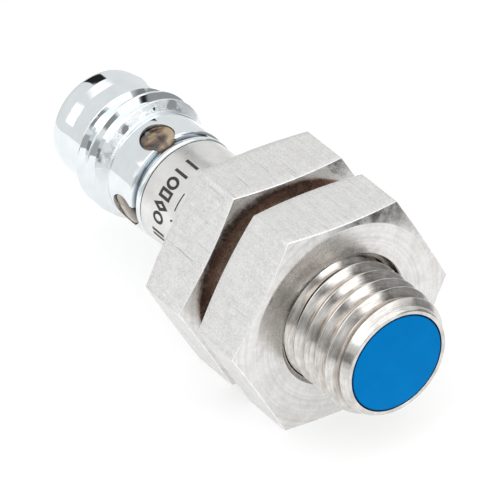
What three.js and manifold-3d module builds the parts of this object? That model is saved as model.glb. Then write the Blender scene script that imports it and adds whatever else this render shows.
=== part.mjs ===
// Inductive proximity sensor: an M8x1 threaded steel sleeve with a blue sensing
// cap, a plated plug connector with four indicator windows, and two lock nuts.
//
// Millimetres. The origin is the centre of the sensing face, +X points out of
// that face, and the body runs back along -X. +Z is the outward normal of one
// flat of both lock nuts. A "depth" is a distance behind the sensing face, so
// x = -depth. An "angle" is measured about +X, from +Y towards +Z, in degrees.
import * as THREE from 'three';
import { mergeVertices } from 'three/addons/utils/BufferGeometryUtils.js';
import Module from 'manifold-3d';

const wasm = await Module();
wasm.setup();

// ---------------------------------------------------------------------------
// Driving dimensions
// ---------------------------------------------------------------------------
const FACETS = 32;
const INNER_FACETS = 24;
const SMALL_FACETS = 16;
const GAP = 0.05;
// How far a cutting solid runs past the face that it cuts.
const OVERCUT = 1;

const PITCH = 1;
const CREST_RADIUS = 3.95;
const ROOT_RADIUS = 3.44;
const CREST_SHARE = 0.12;
const ROOT_SHARE = 0.22;
const RUN_OUT = 0.5;
// Depths at which a crest of each thread crosses the +Z side.
const SLEEVE_CREST_DEPTH = 0.68;
const PLUG_CREST_DEPTH = 24.8;

const SLEEVE_END = 20.68;
const NECK_RADIUS = 3.4;
const RIM_RADIUS = 3.36;
const NOSE_RADIUS = 3.88;
const NOSE_DEPTH = 0.95;
const THREAD_END = 14.2;
const CAP_SEAT_RADIUS = 3.12;
const CAP_SEAT_DEPTH = 4;
const BORE_RADIUS = 3;

const CAP_RADIUS = 3.07;
const CAP_FACE = 0.6;
const CAP_BORE_RADIUS = 2.8;

const NUT_ACROSS_FLATS = 13;
const NUT_THICKNESS = 4;
const NUT_BORE_RADIUS = CREST_RADIUS + 0.08;
const NUT_COUNTERSINK_RADIUS = 4.3;
const NUT_FACE_RADIUS = 6.2;
const NUT_CORNER_CHAMFER = 0.33;
const NUT_FRONT_DEPTH = 5.1;
const NUT_REAR_DEPTH = 10.42;

const SHELL_START = 18.75;
const SHELL_END = 30.3;
const SHELL_RADIUS = 3.5;
const SPIGOT_RADIUS = BORE_RADIUS - GAP;
const SPIGOT_BORE_RADIUS = 2.5;
const LIP_START = SLEEVE_END + 0.07;
const LIP_END = 21.2;
const LIP_RADIUS = 3.47;
const LIP_EDGE = 0.12;
const GROOVE_START = 21.26;
const GROOVE_END = 21.52;
const GROOVE_RADIUS = 3.1;
const BAND_START = 21.7;
const BAND_END = 23.93;
const COLLAR_START = 27.05;
const COLLAR_RADIUS = 3.45;
const BEAD_START = 28.25;
const BEAD_TOP = 29;
const BEAD_RADIUS = 3.53;
const BEAD_END = 29.6;
const COLLAR_ROUND_MIDDLE = 30;
const COLLAR_ROUND_END = 30.2;
const MOUTH_RADIUS = 3.08;
const MOUTH_EDGE = 0.14;
const GUIDE_START = 21.1;
const GUIDE_END = 23.95;
const GUIDE_RADIUS = 2.9;
const GUIDE_BORE_RADIUS = 2.45;
const GUIDE_TOP_RADIUS = 3.4;
const WINDOW_DEPTH = 22.45;
const WINDOW_RADIUS = 1.08;
const WINDOW_ANGLE = 107.5;
const PLUG_THREAD_START = 24.1;
const PLUG_THREAD_END = 26.95;
const PLUG_LEAD_IN = 0.7;
const PLUG_CREST_RADIUS = 4;
const PLUG_CORE_RADIUS = 3.3;
const PLUG_BORE_RADIUS = 2.9;
const INSERT_START = 24.6;
const INSERT_END = 26.2;
const SEAL_GROOVE_START = 25.2;
const SEAL_GROOVE_END = 25.7;
const SEAL_GROOVE_RADIUS = 2.35;
const SEAL_RADIUS = 2.6;
const SEAL_THICKNESS = 0.22;
const KEYWAY_WIDTH = 0.8;
const KEYWAY_DEPTH = 0.35;
const KEYWAY_SINK = 0.5;
const PIN_RADIUS = 0.5;
const PIN_ROUND_RADIUS = 0.4;
const PIN_TIP_RADIUS = 0.2;
const PIN_ROUND_LENGTH = 0.15;
const PIN_TAPER_LENGTH = 0.4;
const PIN_START = 23.3;
const PIN_END = 29.4;
const PIN_OFFSET = 0.85;
const PIN_SPREAD = 1.15;

const CORE_START = 0.7;
const CORE_FLOOR = 2.4;
const CORE_END = 3.1;
const CORE_RADIUS = 2.55;
const CORE_WELL_RADIUS = 2.1;
const CORE_POST_RADIUS = 0.9;
const BOBBIN_WALL = 0.15;
const BOBBIN_HUB_RADIUS = 1.15;
const LEAD_OFFSET = 1.5;
const LEAD_RADIUS = 0.12;
const LEAD_HOLE_RADIUS = 0.25;
const SHIELD_BORE_RADIUS = 2.6;
const SHIELD_RADIUS = 2.75;
const SHIELD_END = 3.5;
const LINER_BORE_RADIUS = 2.8;
const LINER_RADIUS = 2.93;
const LINER_END = 16.4;
const PLUG_RESIN_START = 16.6;
const PLUG_RESIN_END = 18.2;

const BOARD_THICKNESS = 0.6;
const BOARD_START = 4.3;
const BOARD_STEP = 18.3;
const BOARD_END = 24.4;
const BOARD_WIDTH = 5.2;
const BOARD_TAIL_WIDTH = 4.2;
const BOARD_ROLL = WINDOW_ANGLE - 90;

// ---------------------------------------------------------------------------
// Materials
// ---------------------------------------------------------------------------
const finish = (color, roughness, metalness, extra = {}) =>
  new THREE.MeshStandardMaterial({ color, roughness, metalness, ...extra });

const stainless = finish(0xc9c6c2, 0.28, 1);
const blastedSteel = finish(0xd6d6d4, 0.5, 1);
const blueCap = finish(0x0079c3, 0.45, 0);
const chrome = finish(0xe2e8ec, 0.08, 1);
const amber = finish(0x8a6238, 0.3, 0, { transparent: true, opacity: 0.85 });
const blackPlastic = finish(0x18191b, 0.55, 0);
const nitrile = finish(0x101010, 0.8, 0);
const gold = finish(0xd8b25c, 0.25, 1);
const brass = finish(0xb99a52, 0.35, 1);
const ferrite = finish(0x2c2b2e, 0.75, 0.1);
const paleNylon = finish(0xe8e2cf, 0.5, 0);
const copper = finish(0xb5653a, 0.35, 1);
const boardGreen = finish(0x1d6a41, 0.4, 0);
const moulding = finish(0x1a1a1c, 0.5, 0);
const ceramicTan = finish(0xb89a74, 0.55, 0);
const ledLens = finish(0xf0d070, 0.25, 0);
const film = finish(0xc9a44c, 0.4, 0);
const resin = finish(0x2a2622, 0.6, 0);

// ---------------------------------------------------------------------------
// Geometry helpers
// ---------------------------------------------------------------------------
const radians = THREE.MathUtils.degToRad;

function bareMesh(geometry) {
  const bare = geometry.clone();
  bare.deleteAttribute('normal');
  bare.deleteAttribute('uv');
  return mergeVertices(bare, 1e-4);
}

function signedVolume(geometry) {
  const points = geometry.getAttribute('position');
  const index = geometry.index;
  const corners = [new THREE.Vector3(), new THREE.Vector3(), new THREE.Vector3()];
  let sum = 0;
  for (let i = 0; i < index.count; i += 3) {
    corners.forEach((corner, k) => corner.fromBufferAttribute(points, index.getX(i + k)));
    sum += corners[0].dot(corners[1].clone().cross(corners[2]));
  }
  return sum / 6;
}

// Turns every face outwards, whichever way the outline was drawn.
function facingOut(geometry) {
  const mesh = bareMesh(geometry);
  if (signedVolume(mesh) < 0) {
    const index = mesh.index.array;
    for (let i = 0; i < index.length; i += 3) {
      [index[i + 1], index[i + 2]] = [index[i + 2], index[i + 1]];
    }
  }
  return mesh;
}

function toSolid(geometry) {
  const mesh = facingOut(geometry);
  return new wasm.Manifold(new wasm.Mesh({
    numProp: 3,
    vertProperties: new Float32Array(mesh.getAttribute('position').array),
    triVerts: new Uint32Array(mesh.index.array),
  }));
}

function toGeometry(solid) {
  const mesh = solid.getMesh();
  const geometry = new THREE.BufferGeometry();
  geometry.setAttribute('position', new THREE.BufferAttribute(mesh.vertProperties, 3));
  geometry.setIndex(new THREE.BufferAttribute(mesh.triVerts, 1));
  return geometry;
}

// A turned piece: its outline is a list of [radius, depth] points.
function turned(outline, facets = FACETS) {
  const points = outline.map(([radius, depth]) => new THREE.Vector2(radius, depth));
  return facingOut(new THREE.LatheGeometry(points, facets).rotateZ(Math.PI / 2));
}

function tube(inner, outer, start, end, facets = INNER_FACETS) {
  const outline = [[inner, start], [outer, start], [outer, end], [inner, end], [inner, start]];
  return turned(outline, facets);
}

function rod(radius, start, end, facets = FACETS) {
  return turned([[0, start], [radius, start], [radius, end], [0, end]], facets);
}

// A block given by its depth range and its size and centre across the axis.
function block(start, end, width, height, y = 0, z = 0) {
  const box = new THREE.BoxGeometry(end - start, width, height);
  return box.translate(-(start + end) / 2, y, z);
}

// A round peg that points away from the axis.
function peg(radius, inner, outer, depth, angle) {
  const cylinder = new THREE.CylinderGeometry(radius, radius, outer - inner, SMALL_FACETS);
  cylinder.translate(0, (inner + outer) / 2, 0);
  return cylinder.rotateX(radians(angle)).translate(-depth, 0, 0);
}

function along(axisGeometry, y, z) {
  return axisGeometry.translate(0, y, z);
}

// A right-hand helical rod of thread form. Each turn has one crest and one root
// flat, and column 0 of a turn joins the last column of the turn before it.
function threadedRod(crest, root, crestDepth, start, end) {
  const rows = [
    [0, crest],
    [CREST_SHARE, crest],
    [0.5 + (CREST_SHARE - ROOT_SHARE) / 2, root],
    [0.5 + (CREST_SHARE + ROOT_SHARE) / 2, root],
  ];
  const turns = Math.ceil((end - start) / PITCH) + 3;
  const whole = Math.ceil((crestDepth - start) / PITCH) + 2;
  const firstDepth = crestDepth - whole * PITCH - (CREST_SHARE * PITCH) / 2;
  const rowCount = turns * rows.length;
  const positions = [];
  const numbers = new Map();
  const vertex = (row, column) => {
    if (column === FACETS) return vertex(row + rows.length, 0);
    const key = row * FACETS + column;
    if (!numbers.has(key)) {
      const [share, radius] = rows[row % rows.length];
      const turn = Math.floor(row / rows.length) + share + column / FACETS;
      const phi = (2 * Math.PI * column) / FACETS;
      numbers.set(key, positions.length / 3);
      positions.push(-(firstDepth + turn * PITCH), radius * Math.sin(phi), radius * Math.cos(phi));
    }
    return numbers.get(key);
  };
  const triangles = [];
  for (let row = 0; row < rowCount; row += 1) {
    for (let column = 0; column < FACETS; column += 1) {
      const a = vertex(row, column);
      const b = vertex(row, column + 1);
      const c = vertex(row + 1, column + 1);
      const d = vertex(row + 1, column);
      triangles.push(a, b, c, a, c, d);
    }
  }
  // Each end closes with a fan round a point on the axis.
  const closeEnd = (row, reversed) => {
    const rim = [];
    for (let column = 0; column < FACETS; column += 1) rim.push(vertex(row, column));
    for (let step = rows.length; step > 0; step -= 1) rim.push(vertex(row + step, 0));
    const centre = positions.length / 3;
    positions.push(-(firstDepth + (row / rows.length + 0.5) * PITCH), 0, 0);
    rim.forEach((from, i) => {
      const to = rim[(i + 1) % rim.length];
      triangles.push(centre, reversed ? to : from, reversed ? from : to);
    });
  };
  closeEnd(0, true);
  closeEnd(rowCount, false);
  const geometry = new THREE.BufferGeometry();
  geometry.setAttribute('position', new THREE.Float32BufferAttribute(positions, 3));
  geometry.setIndex(triangles);
  return geometry;
}

// ---------------------------------------------------------------------------
// The assembly and its parts
// ---------------------------------------------------------------------------
const sensor = new THREE.Group();
const electronics = new THREE.Group();
electronics.rotation.x = radians(BOARD_ROLL);
sensor.add(electronics);

function addPart(name, geometry, material, parent = sensor) {
  const mesh = new THREE.Mesh(geometry, material);
  mesh.name = name;
  parent.add(mesh);
}

// Threaded sleeve with a bevelled nose and a smooth neck behind the thread.
function housingSleeve() {
  const joint = NOSE_DEPTH + 2 * GAP;
  const nose = toSolid(turned([
    [0, 0], [RIM_RADIUS, 0], [NOSE_RADIUS, NOSE_DEPTH], [ROOT_RADIUS, joint], [0, joint],
  ]));
  const helix = threadedRod(CREST_RADIUS, ROOT_RADIUS, SLEEVE_CREST_DEPTH, NOSE_DEPTH, THREAD_END);
  const clear = CREST_RADIUS + GAP;
  const thread = toSolid(helix).intersect(toSolid(turned([
    [0, NOSE_DEPTH], [NOSE_RADIUS, NOSE_DEPTH], [clear, joint + GAP],
    [clear, THREAD_END - RUN_OUT], [ROOT_RADIUS, THREAD_END], [0, THREAD_END],
  ])));
  const neck = toSolid(rod(NECK_RADIUS, THREAD_END - GAP, SLEEVE_END));
  const bore = toSolid(rod(CAP_SEAT_RADIUS, -OVERCUT, CAP_SEAT_DEPTH))
    .add(toSolid(rod(BORE_RADIUS, CAP_SEAT_DEPTH - GAP, SLEEVE_END + OVERCUT)));
  return toGeometry(nose.add(thread).add(neck).subtract(bore));
}

// The blue cup that closes the sleeve; its floor is the sensing face.
function sensingCap() {
  const end = CAP_SEAT_DEPTH - 2 * GAP;
  return turned([
    [0, 0], [CAP_RADIUS, 0], [CAP_RADIUS, end], [CAP_BORE_RADIUS, end],
    [CAP_BORE_RADIUS, CAP_FACE], [0, CAP_FACE],
  ]);
}

// Hexagon lock nut with chamfered corners on both faces. Its bore clears the
// thread's crest.
function lockNut(depth) {
  const corner = NUT_ACROSS_FLATS / Math.sqrt(3);
  const end = depth + NUT_THICKNESS;
  const hexagon = new THREE.CylinderGeometry(corner, corner, NUT_THICKNESS, 6)
    .rotateY(radians(30)).rotateZ(Math.PI / 2)
    .translate(-(depth + end) / 2, 0, 0);
  const slope = NUT_CORNER_CHAMFER / (corner - NUT_FACE_RADIUS);
  const wide = corner + OVERCUT;
  const drop = (wide - NUT_FACE_RADIUS) * slope;
  const chamfered = turned([
    [0, depth], [NUT_FACE_RADIUS, depth], [wide, depth + drop],
    [wide, end - drop], [NUT_FACE_RADIUS, end], [0, end],
  ]);
  const sink = NUT_COUNTERSINK_RADIUS - NUT_BORE_RADIUS;
  const bore = turned([
    [0, depth - OVERCUT], [NUT_COUNTERSINK_RADIUS + OVERCUT, depth - OVERCUT],
    [NUT_BORE_RADIUS, depth + sink], [NUT_BORE_RADIUS, end - sink],
    [NUT_COUNTERSINK_RADIUS + OVERCUT, end + OVERCUT], [0, end + OVERCUT],
  ]);
  return toGeometry(toSolid(hexagon).intersect(toSolid(chamfered)).subtract(toSolid(bore)));
}

// Plated plug body: spigot, lip, indicator band, M8x1 thread and an open collar
// with a low bead.
function connectorShell() {
  const insertSeat = INSERT_START - GAP;
  const guideSeatRadius = GUIDE_RADIUS + GAP;
  const guideSeatStart = GUIDE_START - 2 * GAP;
  const guideSeatEnd = GUIDE_END + 3 * GAP;
  const ringEnd = PLUG_THREAD_END + GAP;
  const body = toSolid(turned([
    [SPIGOT_BORE_RADIUS, SHELL_START], [SPIGOT_RADIUS, SHELL_START],
    [SPIGOT_RADIUS, LIP_START], [LIP_RADIUS - LIP_EDGE, LIP_START],
    [LIP_RADIUS, LIP_START + LIP_EDGE], [LIP_RADIUS, LIP_END - LIP_EDGE],
    [LIP_RADIUS - LIP_EDGE, LIP_END],
    [GROOVE_RADIUS, GROOVE_START], [GROOVE_RADIUS, GROOVE_END],
    [SHELL_RADIUS, BAND_START], [SHELL_RADIUS, BAND_END],
    [PLUG_CORE_RADIUS, BAND_END + GAP], [PLUG_CORE_RADIUS, PLUG_THREAD_END],
    [COLLAR_RADIUS, COLLAR_START], [COLLAR_RADIUS, BEAD_START], [BEAD_RADIUS, BEAD_TOP],
    [COLLAR_RADIUS, BEAD_END], [COLLAR_RADIUS - 2 * GAP, COLLAR_ROUND_MIDDLE],
    [MOUTH_RADIUS + MOUTH_EDGE, COLLAR_ROUND_END], [MOUTH_RADIUS, SHELL_END],
    [PLUG_BORE_RADIUS + LIP_EDGE, SHELL_END],
    [PLUG_BORE_RADIUS, SHELL_END - MOUTH_EDGE],
    [PLUG_BORE_RADIUS, insertSeat], [SPIGOT_BORE_RADIUS, insertSeat],
    [SPIGOT_BORE_RADIUS, guideSeatEnd], [guideSeatRadius, guideSeatEnd],
    [guideSeatRadius, guideSeatStart], [SPIGOT_BORE_RADIUS, guideSeatStart],
    [SPIGOT_BORE_RADIUS, SHELL_START],
  ]));
  const ringInside = PLUG_CORE_RADIUS - 4 * GAP;
  const clear = PLUG_CREST_RADIUS + GAP;
  const helix = threadedRod(
    PLUG_CREST_RADIUS, ROOT_RADIUS, PLUG_CREST_DEPTH, PLUG_THREAD_START, ringEnd);
  const thread = toSolid(helix).intersect(toSolid(turned([
    [ringInside, PLUG_THREAD_START], [SHELL_RADIUS, PLUG_THREAD_START],
    [clear, PLUG_THREAD_START + PLUG_LEAD_IN], [clear, ringEnd - RUN_OUT],
    [COLLAR_RADIUS, ringEnd], [ringInside, ringEnd], [ringInside, PLUG_THREAD_START],
  ])));
  return toGeometry(cutWindows(body.add(thread)));
}

// One round window in each quarter of the band.
function cutWindows(shell) {
  let cut = shell;
  for (let quarter = 0; quarter < 4; quarter += 1) {
    const hole = peg(WINDOW_RADIUS, GUIDE_BORE_RADIUS, SHELL_RADIUS + OVERCUT,
      WINDOW_DEPTH, WINDOW_ANGLE + 90 * quarter);
    cut = cut.subtract(toSolid(hole));
  }
  return cut;
}

// Clear ring that carries the light, with a boss in each window.
function lightGuide() {
  let guide = toSolid(tube(GUIDE_BORE_RADIUS, GUIDE_RADIUS, GUIDE_START, GUIDE_END, FACETS));
  const middle = (GUIDE_BORE_RADIUS + GUIDE_RADIUS) / 2;
  for (let quarter = 0; quarter < 4; quarter += 1) {
    const boss = peg(WINDOW_RADIUS - GAP, middle, GUIDE_TOP_RADIUS,
      WINDOW_DEPTH, WINDOW_ANGLE + 90 * quarter);
    guide = guide.add(toSolid(boss));
  }
  return toGeometry(guide);
}

// The three contacts: two below the board and one above it.
const contacts = [
  { name: 'contact_pin_1', y: PIN_SPREAD, z: -PIN_OFFSET },
  { name: 'contact_pin_3', y: -PIN_SPREAD, z: -PIN_OFFSET },
  { name: 'contact_pin_4', y: 0, z: PIN_OFFSET },
];

function contactPin({ y, z }) {
  return along(turned([
    [0, PIN_START], [PIN_RADIUS, PIN_START], [PIN_RADIUS, PIN_END - PIN_TAPER_LENGTH],
    [PIN_ROUND_RADIUS, PIN_END - PIN_ROUND_LENGTH], [PIN_TIP_RADIUS, PIN_END], [0, PIN_END],
  ], SMALL_FACETS), y, z);
}

// Black contact carrier with a groove for its seal and a keyway.
function connectorInsert() {
  const radius = PLUG_BORE_RADIUS - GAP;
  let insert = toSolid(turned([
    [0, INSERT_START], [radius, INSERT_START], [radius, SEAL_GROOVE_START],
    [SEAL_GROOVE_RADIUS, SEAL_GROOVE_START], [SEAL_GROOVE_RADIUS, SEAL_GROOVE_END],
    [radius, SEAL_GROOVE_END], [radius, INSERT_END], [0, INSERT_END],
  ]));
  contacts.forEach(({ y, z }) => {
    const hole = rod(
      PIN_RADIUS + GAP, INSERT_START - OVERCUT, INSERT_END + OVERCUT, SMALL_FACETS);
    insert = insert.subtract(toSolid(along(hole, y, z)));
  });
  const keyway = block(
    INSERT_END - KEYWAY_DEPTH, INSERT_END + OVERCUT, KEYWAY_WIDTH, 2 * KEYWAY_SINK, 0, radius);
  return toGeometry(insert.subtract(toSolid(keyway)));
}

function insertSeal() {
  const depth = (SEAL_GROOVE_START + SEAL_GROOVE_END) / 2;
  return facingOut(new THREE.TorusGeometry(SEAL_RADIUS, SEAL_THICKNESS, 8, INNER_FACETS)
    .rotateY(Math.PI / 2).translate(-depth, 0, 0));
}

// Pot core, open to the front, with a hole for each coil lead in its floor.
function ferriteCore() {
  let core = toSolid(turned([
    [0, CORE_START], [CORE_POST_RADIUS, CORE_START], [CORE_POST_RADIUS, CORE_FLOOR],
    [CORE_WELL_RADIUS, CORE_FLOOR], [CORE_WELL_RADIUS, CORE_START], [CORE_RADIUS, CORE_START],
    [CORE_RADIUS, CORE_END], [0, CORE_END],
  ], INNER_FACETS));
  [1, -1].forEach((side) => {
    const hole = rod(LEAD_HOLE_RADIUS, CORE_FLOOR - GAP, CORE_END + OVERCUT, SMALL_FACETS);
    core = core.subtract(toSolid(along(hole, LEAD_OFFSET * side, 0)));
  });
  return toGeometry(core);
}

// Coil former: a hub between two thin cheeks, in the well of the core.
function coilBobbin() {
  const inside = CORE_POST_RADIUS + GAP;
  const outside = CORE_WELL_RADIUS - GAP;
  const start = CORE_START + GAP;
  const end = CORE_FLOOR - GAP;
  return turned([
    [inside, start], [outside, start], [outside, start + BOBBIN_WALL],
    [BOBBIN_HUB_RADIUS, start + BOBBIN_WALL], [BOBBIN_HUB_RADIUS, end - BOBBIN_WALL],
    [outside, end - BOBBIN_WALL], [outside, end], [inside, end], [inside, start],
  ], INNER_FACETS);
}

// The winding fills the former, a little short of its cheeks.
function coilWinding() {
  return tube(
    BOBBIN_HUB_RADIUS + GAP, CORE_WELL_RADIUS - 3 * GAP,
    CORE_START + BOBBIN_WALL + 2 * GAP, CORE_FLOOR - BOBBIN_WALL - 2 * GAP);
}

// A lead runs from the coil, through the core's floor, to a pad on the board.
function coilLead(side) {
  const padHeight = BOARD_THICKNESS / 2 + LEAD_RADIUS + GAP;
  const stops = [
    [CORE_FLOOR + GAP, 0],
    [CORE_END + 0.2, 0],
    [(CORE_END + BOARD_START) / 2 + GAP, padHeight * 0.42],
    [BOARD_START - GAP, padHeight],
    [BOARD_START + 0.8, padHeight],
  ];
  const route = new THREE.CatmullRomCurve3(
    stops.map(([depth, height]) => new THREE.Vector3(-depth, LEAD_OFFSET * side, height)));
  const section = new THREE.Shape().absarc(0, 0, LEAD_RADIUS, 0, 2 * Math.PI);
  return facingOut(new THREE.ExtrudeGeometry(section, {
    steps: 10, curveSegments: 4, extrudePath: route,
  }));
}

function circuitBoard() {
  return toGeometry(toSolid(block(BOARD_START, BOARD_STEP, BOARD_WIDTH, BOARD_THICKNESS))
    .add(toSolid(block(BOARD_STEP - OVERCUT, BOARD_END, BOARD_TAIL_WIDTH, BOARD_THICKNESS))));
}

// Components as [name, depth, length, width, height, side, material]; side 1 is
// the upper face of the board and side -1 the lower face.
const components = [
  ['capacitor_tank', 6.4, 1.3, 2, 0.8, 1, ceramicTan],
  ['oscillator_chip', 9.6, 3, 3, 0.85, 1, moulding],
  ['output_transistor', 13.3, 1.3, 2.9, 0.9, 1, moulding],
  ['resistor_trim', 7, 0.8, 1.6, 0.45, -1, ceramicTan],
  ['suppressor_diode', 10, 1.6, 2.6, 0.9, -1, moulding],
  ['capacitor_input', 13, 1.25, 2, 0.9, -1, ceramicTan],
  ['resistor_led', 15.2, 0.8, 1.6, 0.45, -1, ceramicTan],
  ['led_upper', WINDOW_DEPTH, 0.8, 1.6, 0.55, 1, ledLens],
  ['led_lower', WINDOW_DEPTH, 0.8, 1.6, 0.55, -1, ledLens],
];

function component([, depth, length, width, height, side]) {
  const z = side * (BOARD_THICKNESS / 2 + GAP + height / 2);
  return block(depth - length / 2, depth + length / 2, width, height, 0, z);
}

// Resin disc behind the electronics, slotted where the board passes through.
function pottingPlug() {
  const slot = block(
    PLUG_RESIN_START - OVERCUT, PLUG_RESIN_END + OVERCUT,
    BOARD_WIDTH + 4 * GAP, BOARD_THICKNESS + 4 * GAP);
  const disc = rod(SPIGOT_RADIUS, PLUG_RESIN_START, PLUG_RESIN_END);
  return toGeometry(toSolid(disc).subtract(toSolid(slot)));
}

function shieldRing() {
  return tube(SHIELD_BORE_RADIUS, SHIELD_RADIUS, CAP_FACE + GAP, SHIELD_END);
}

function insulatingLiner() {
  return tube(LINER_BORE_RADIUS, LINER_RADIUS, BOARD_START + 2 * GAP, LINER_END);
}

addPart('housing_sleeve', housingSleeve(), stainless);
addPart('sensing_cap', sensingCap(), blueCap);
addPart('nut_front', lockNut(NUT_FRONT_DEPTH), blastedSteel);
addPart('nut_rear', lockNut(NUT_REAR_DEPTH), blastedSteel);
addPart('connector_shell', connectorShell(), chrome);
addPart('light_guide', lightGuide(), amber);
addPart('insert_seal', insertSeal(), nitrile);
addPart('shield_ring', shieldRing(), brass);
addPart('coil_bobbin', coilBobbin(), paleNylon);
addPart('coil_winding', coilWinding(), copper);
addPart('insulating_liner', insulatingLiner(), film);

addPart('connector_insert', connectorInsert(), blackPlastic, electronics);
contacts.forEach((contact) => addPart(contact.name, contactPin(contact), gold, electronics));
addPart('ferrite_core', ferriteCore(), ferrite, electronics);
addPart('coil_lead_left', coilLead(1), copper, electronics);
addPart('coil_lead_right', coilLead(-1), copper, electronics);
addPart('circuit_board', circuitBoard(), boardGreen, electronics);
components.forEach((row) => addPart(row[0], component(row), row[6], electronics));
addPart('potting_plug', pottingPlug(), resin, electronics);

export default sensor;
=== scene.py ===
# Looks of the inductive proximity sensor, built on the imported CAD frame.
#
# Blender works in metres. Lengths below are in millimetres and are turned into
# metres where a mesh is made. A "depth" is a distance behind the sensing face,
# so x = -depth. A "turn" runs from 0 to 1 round the barrel, from +Z towards +Y.
# An angle round the barrel is in degrees, from +Y towards +Z.
import math

import bmesh
import bpy
import numpy as np
from mathutils import Matrix, Vector


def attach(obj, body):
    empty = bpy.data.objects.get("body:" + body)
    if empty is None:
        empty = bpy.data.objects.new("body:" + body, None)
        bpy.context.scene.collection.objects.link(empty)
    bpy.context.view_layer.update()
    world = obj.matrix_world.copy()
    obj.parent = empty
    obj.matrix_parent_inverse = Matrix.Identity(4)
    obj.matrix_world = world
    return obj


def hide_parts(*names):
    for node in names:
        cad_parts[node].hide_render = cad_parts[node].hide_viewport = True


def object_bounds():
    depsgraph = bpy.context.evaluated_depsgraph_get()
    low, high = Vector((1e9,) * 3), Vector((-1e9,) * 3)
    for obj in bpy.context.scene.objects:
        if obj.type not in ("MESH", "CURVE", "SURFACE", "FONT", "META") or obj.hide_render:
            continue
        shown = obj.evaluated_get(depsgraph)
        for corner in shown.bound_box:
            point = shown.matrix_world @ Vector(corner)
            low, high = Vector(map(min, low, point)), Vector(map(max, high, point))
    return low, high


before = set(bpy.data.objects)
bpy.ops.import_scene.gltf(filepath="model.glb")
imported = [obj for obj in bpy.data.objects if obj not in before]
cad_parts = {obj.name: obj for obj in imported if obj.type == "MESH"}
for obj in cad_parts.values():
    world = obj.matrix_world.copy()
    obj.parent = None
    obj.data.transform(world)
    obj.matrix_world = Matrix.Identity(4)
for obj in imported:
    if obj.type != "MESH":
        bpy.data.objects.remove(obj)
cad_low, cad_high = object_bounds()

# ------------ Sizes, in millimetres
MM = 0.001

# Faces round a turned piece, steps in a rounded corner, and how close two
# points lie that become one
COLUMNS = 160
ROUND_STEPS = 3
MERGE = 0.0004

# Threads of the barrel, the nuts and the plug
PITCH = 1.0
CREST_RADIUS = 3.95
ROOT_RADIUS = 3.44
CREST_FLAT = 0.06
ROOT_FLAT = 0.22
CREST_DEPTH = 0.68

# Sleeve
SLEEVE_END = 20.68
NECK_RADIUS = 3.4
RIM_RADIUS = 3.36
NOSE_START = 0.12
NOSE_START_RADIUS = 3.425
NOSE_RADIUS = 3.88
NOSE_DEPTH = 0.95
THREAD_END = 14.2
THREAD_RUNOUT = 0.5
SEAT_RADIUS = 3.12
SEAT_DEPTH = 4.0
BORE_RADIUS = 3.0

# Cap
CAP_RADIUS = 3.07
CAP_END = 3.9
CAP_BORE_RADIUS = 2.8
CAP_FACE = 0.6

# Lock nuts
NUT_APOTHEM = 6.5
NUT_THICKNESS = 4.0
NUT_FRONT_DEPTH = 5.1
NUT_REAR_DEPTH = 10.42
NUT_SINK_RADIUS = 4.26
NUT_FACE_RADIUS = 6.2
NUT_CHAMFER_SLOPE = 0.2527
NUT_CORNER_ROUND = 0.09
NUT_EDGE_ROUND = 0.05
NUT_THREAD_CLEARANCE = 0.05

# Plug body and light guide
SHELL_START = 18.75
SHELL_END = 30.3
SHELL_RADIUS = 3.5
SHELL_BORE_RADIUS = 2.5
SHELL_TAIL_RADIUS = 2.95
COLLAR_START = 20.75
COLLAR_RADIUS = 3.47
RECESS_START = 21.2
RECESS_END = 21.6
RECESS_RADIUS = 3.1
BAND_START = 21.7
BAND_END = 23.93
PLUG_THREAD_START = 24.06
PLUG_THREAD_END = 26.98
PLUG_THREAD_RUNIN = 0.75
PLUG_THREAD_RUNOUT = 0.48
PLUG_CREST_RADIUS = 4.0
PLUG_CREST_DEPTH = 24.8
LIP_START = 27.12
LIP_RADIUS = 3.45
PLUG_BORE_RADIUS = 2.9
POCKET_START = 21.0
POCKET_END = 24.1
WINDOW_DEPTH = 22.45
WINDOW_RADIUS = 1.08
WINDOW_ANGLES = [107.5 + 90 * i for i in range(4)]
GUIDE_START = 21.1
GUIDE_END = 23.95
GUIDE_RADIUS = 2.9
GUIDE_BORE_RADIUS = 2.45
GUIDE_TOP = 3.4

# Contact carrier and pins
CARRIER_SEAT = 24.55
INSERT_START = 24.6
INSERT_END = 26.2
INSERT_RADIUS = 2.85
SEAL_START = 25.2
SEAL_END = 25.7
SEAL_GROOVE_RADIUS = 2.35
DISH_RADIUS = 2.4
DISH_DEPTH = 0.08
KEYWAY_START = 25.85
KEYWAY_WIDTH = 0.8
KEYWAY_HEIGHT = 1.0
PIN_RADIUS = 0.5
PIN_HOLE_RADIUS = 0.55
PIN_START = 23.3
PIN_END = 29.4
PIN_TAPER = 0.45
PIN_TIP_RADIUS = 0.14
PIN_OFFSET = 0.85
PIN_SPREAD = 1.15
BOARD_ROLL = WINDOW_ANGLES[0] - 90


# ------------ Mesh helpers
def rounded(outline):
    """Rounds the corners of an outline of (depth, radius) points. The setback of
    a corner is the point's third number; without one, it stays sharp."""
    result = []
    last = len(outline) - 1
    for i, point in enumerate(outline):
        corner = np.array(point[:2], float)
        if len(point) < 3 or i in (0, last):
            result.append(tuple(corner))
            continue
        back = np.array(outline[i - 1][:2], float) - corner
        ahead = np.array(outline[i + 1][:2], float) - corner
        back_length = np.linalg.norm(back)
        ahead_length = np.linalg.norm(ahead)
        reach = min(point[2], 0.45 * back_length, 0.45 * ahead_length)
        start = corner + back / back_length * reach
        end = corner + ahead / ahead_length * reach
        for step in range(ROUND_STEPS + 1):
            t = step / ROUND_STEPS
            bend = (1 - t) ** 2 * start + 2 * t * (1 - t) * corner + t * t * end
            result.append(tuple(bend))
    return result


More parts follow.
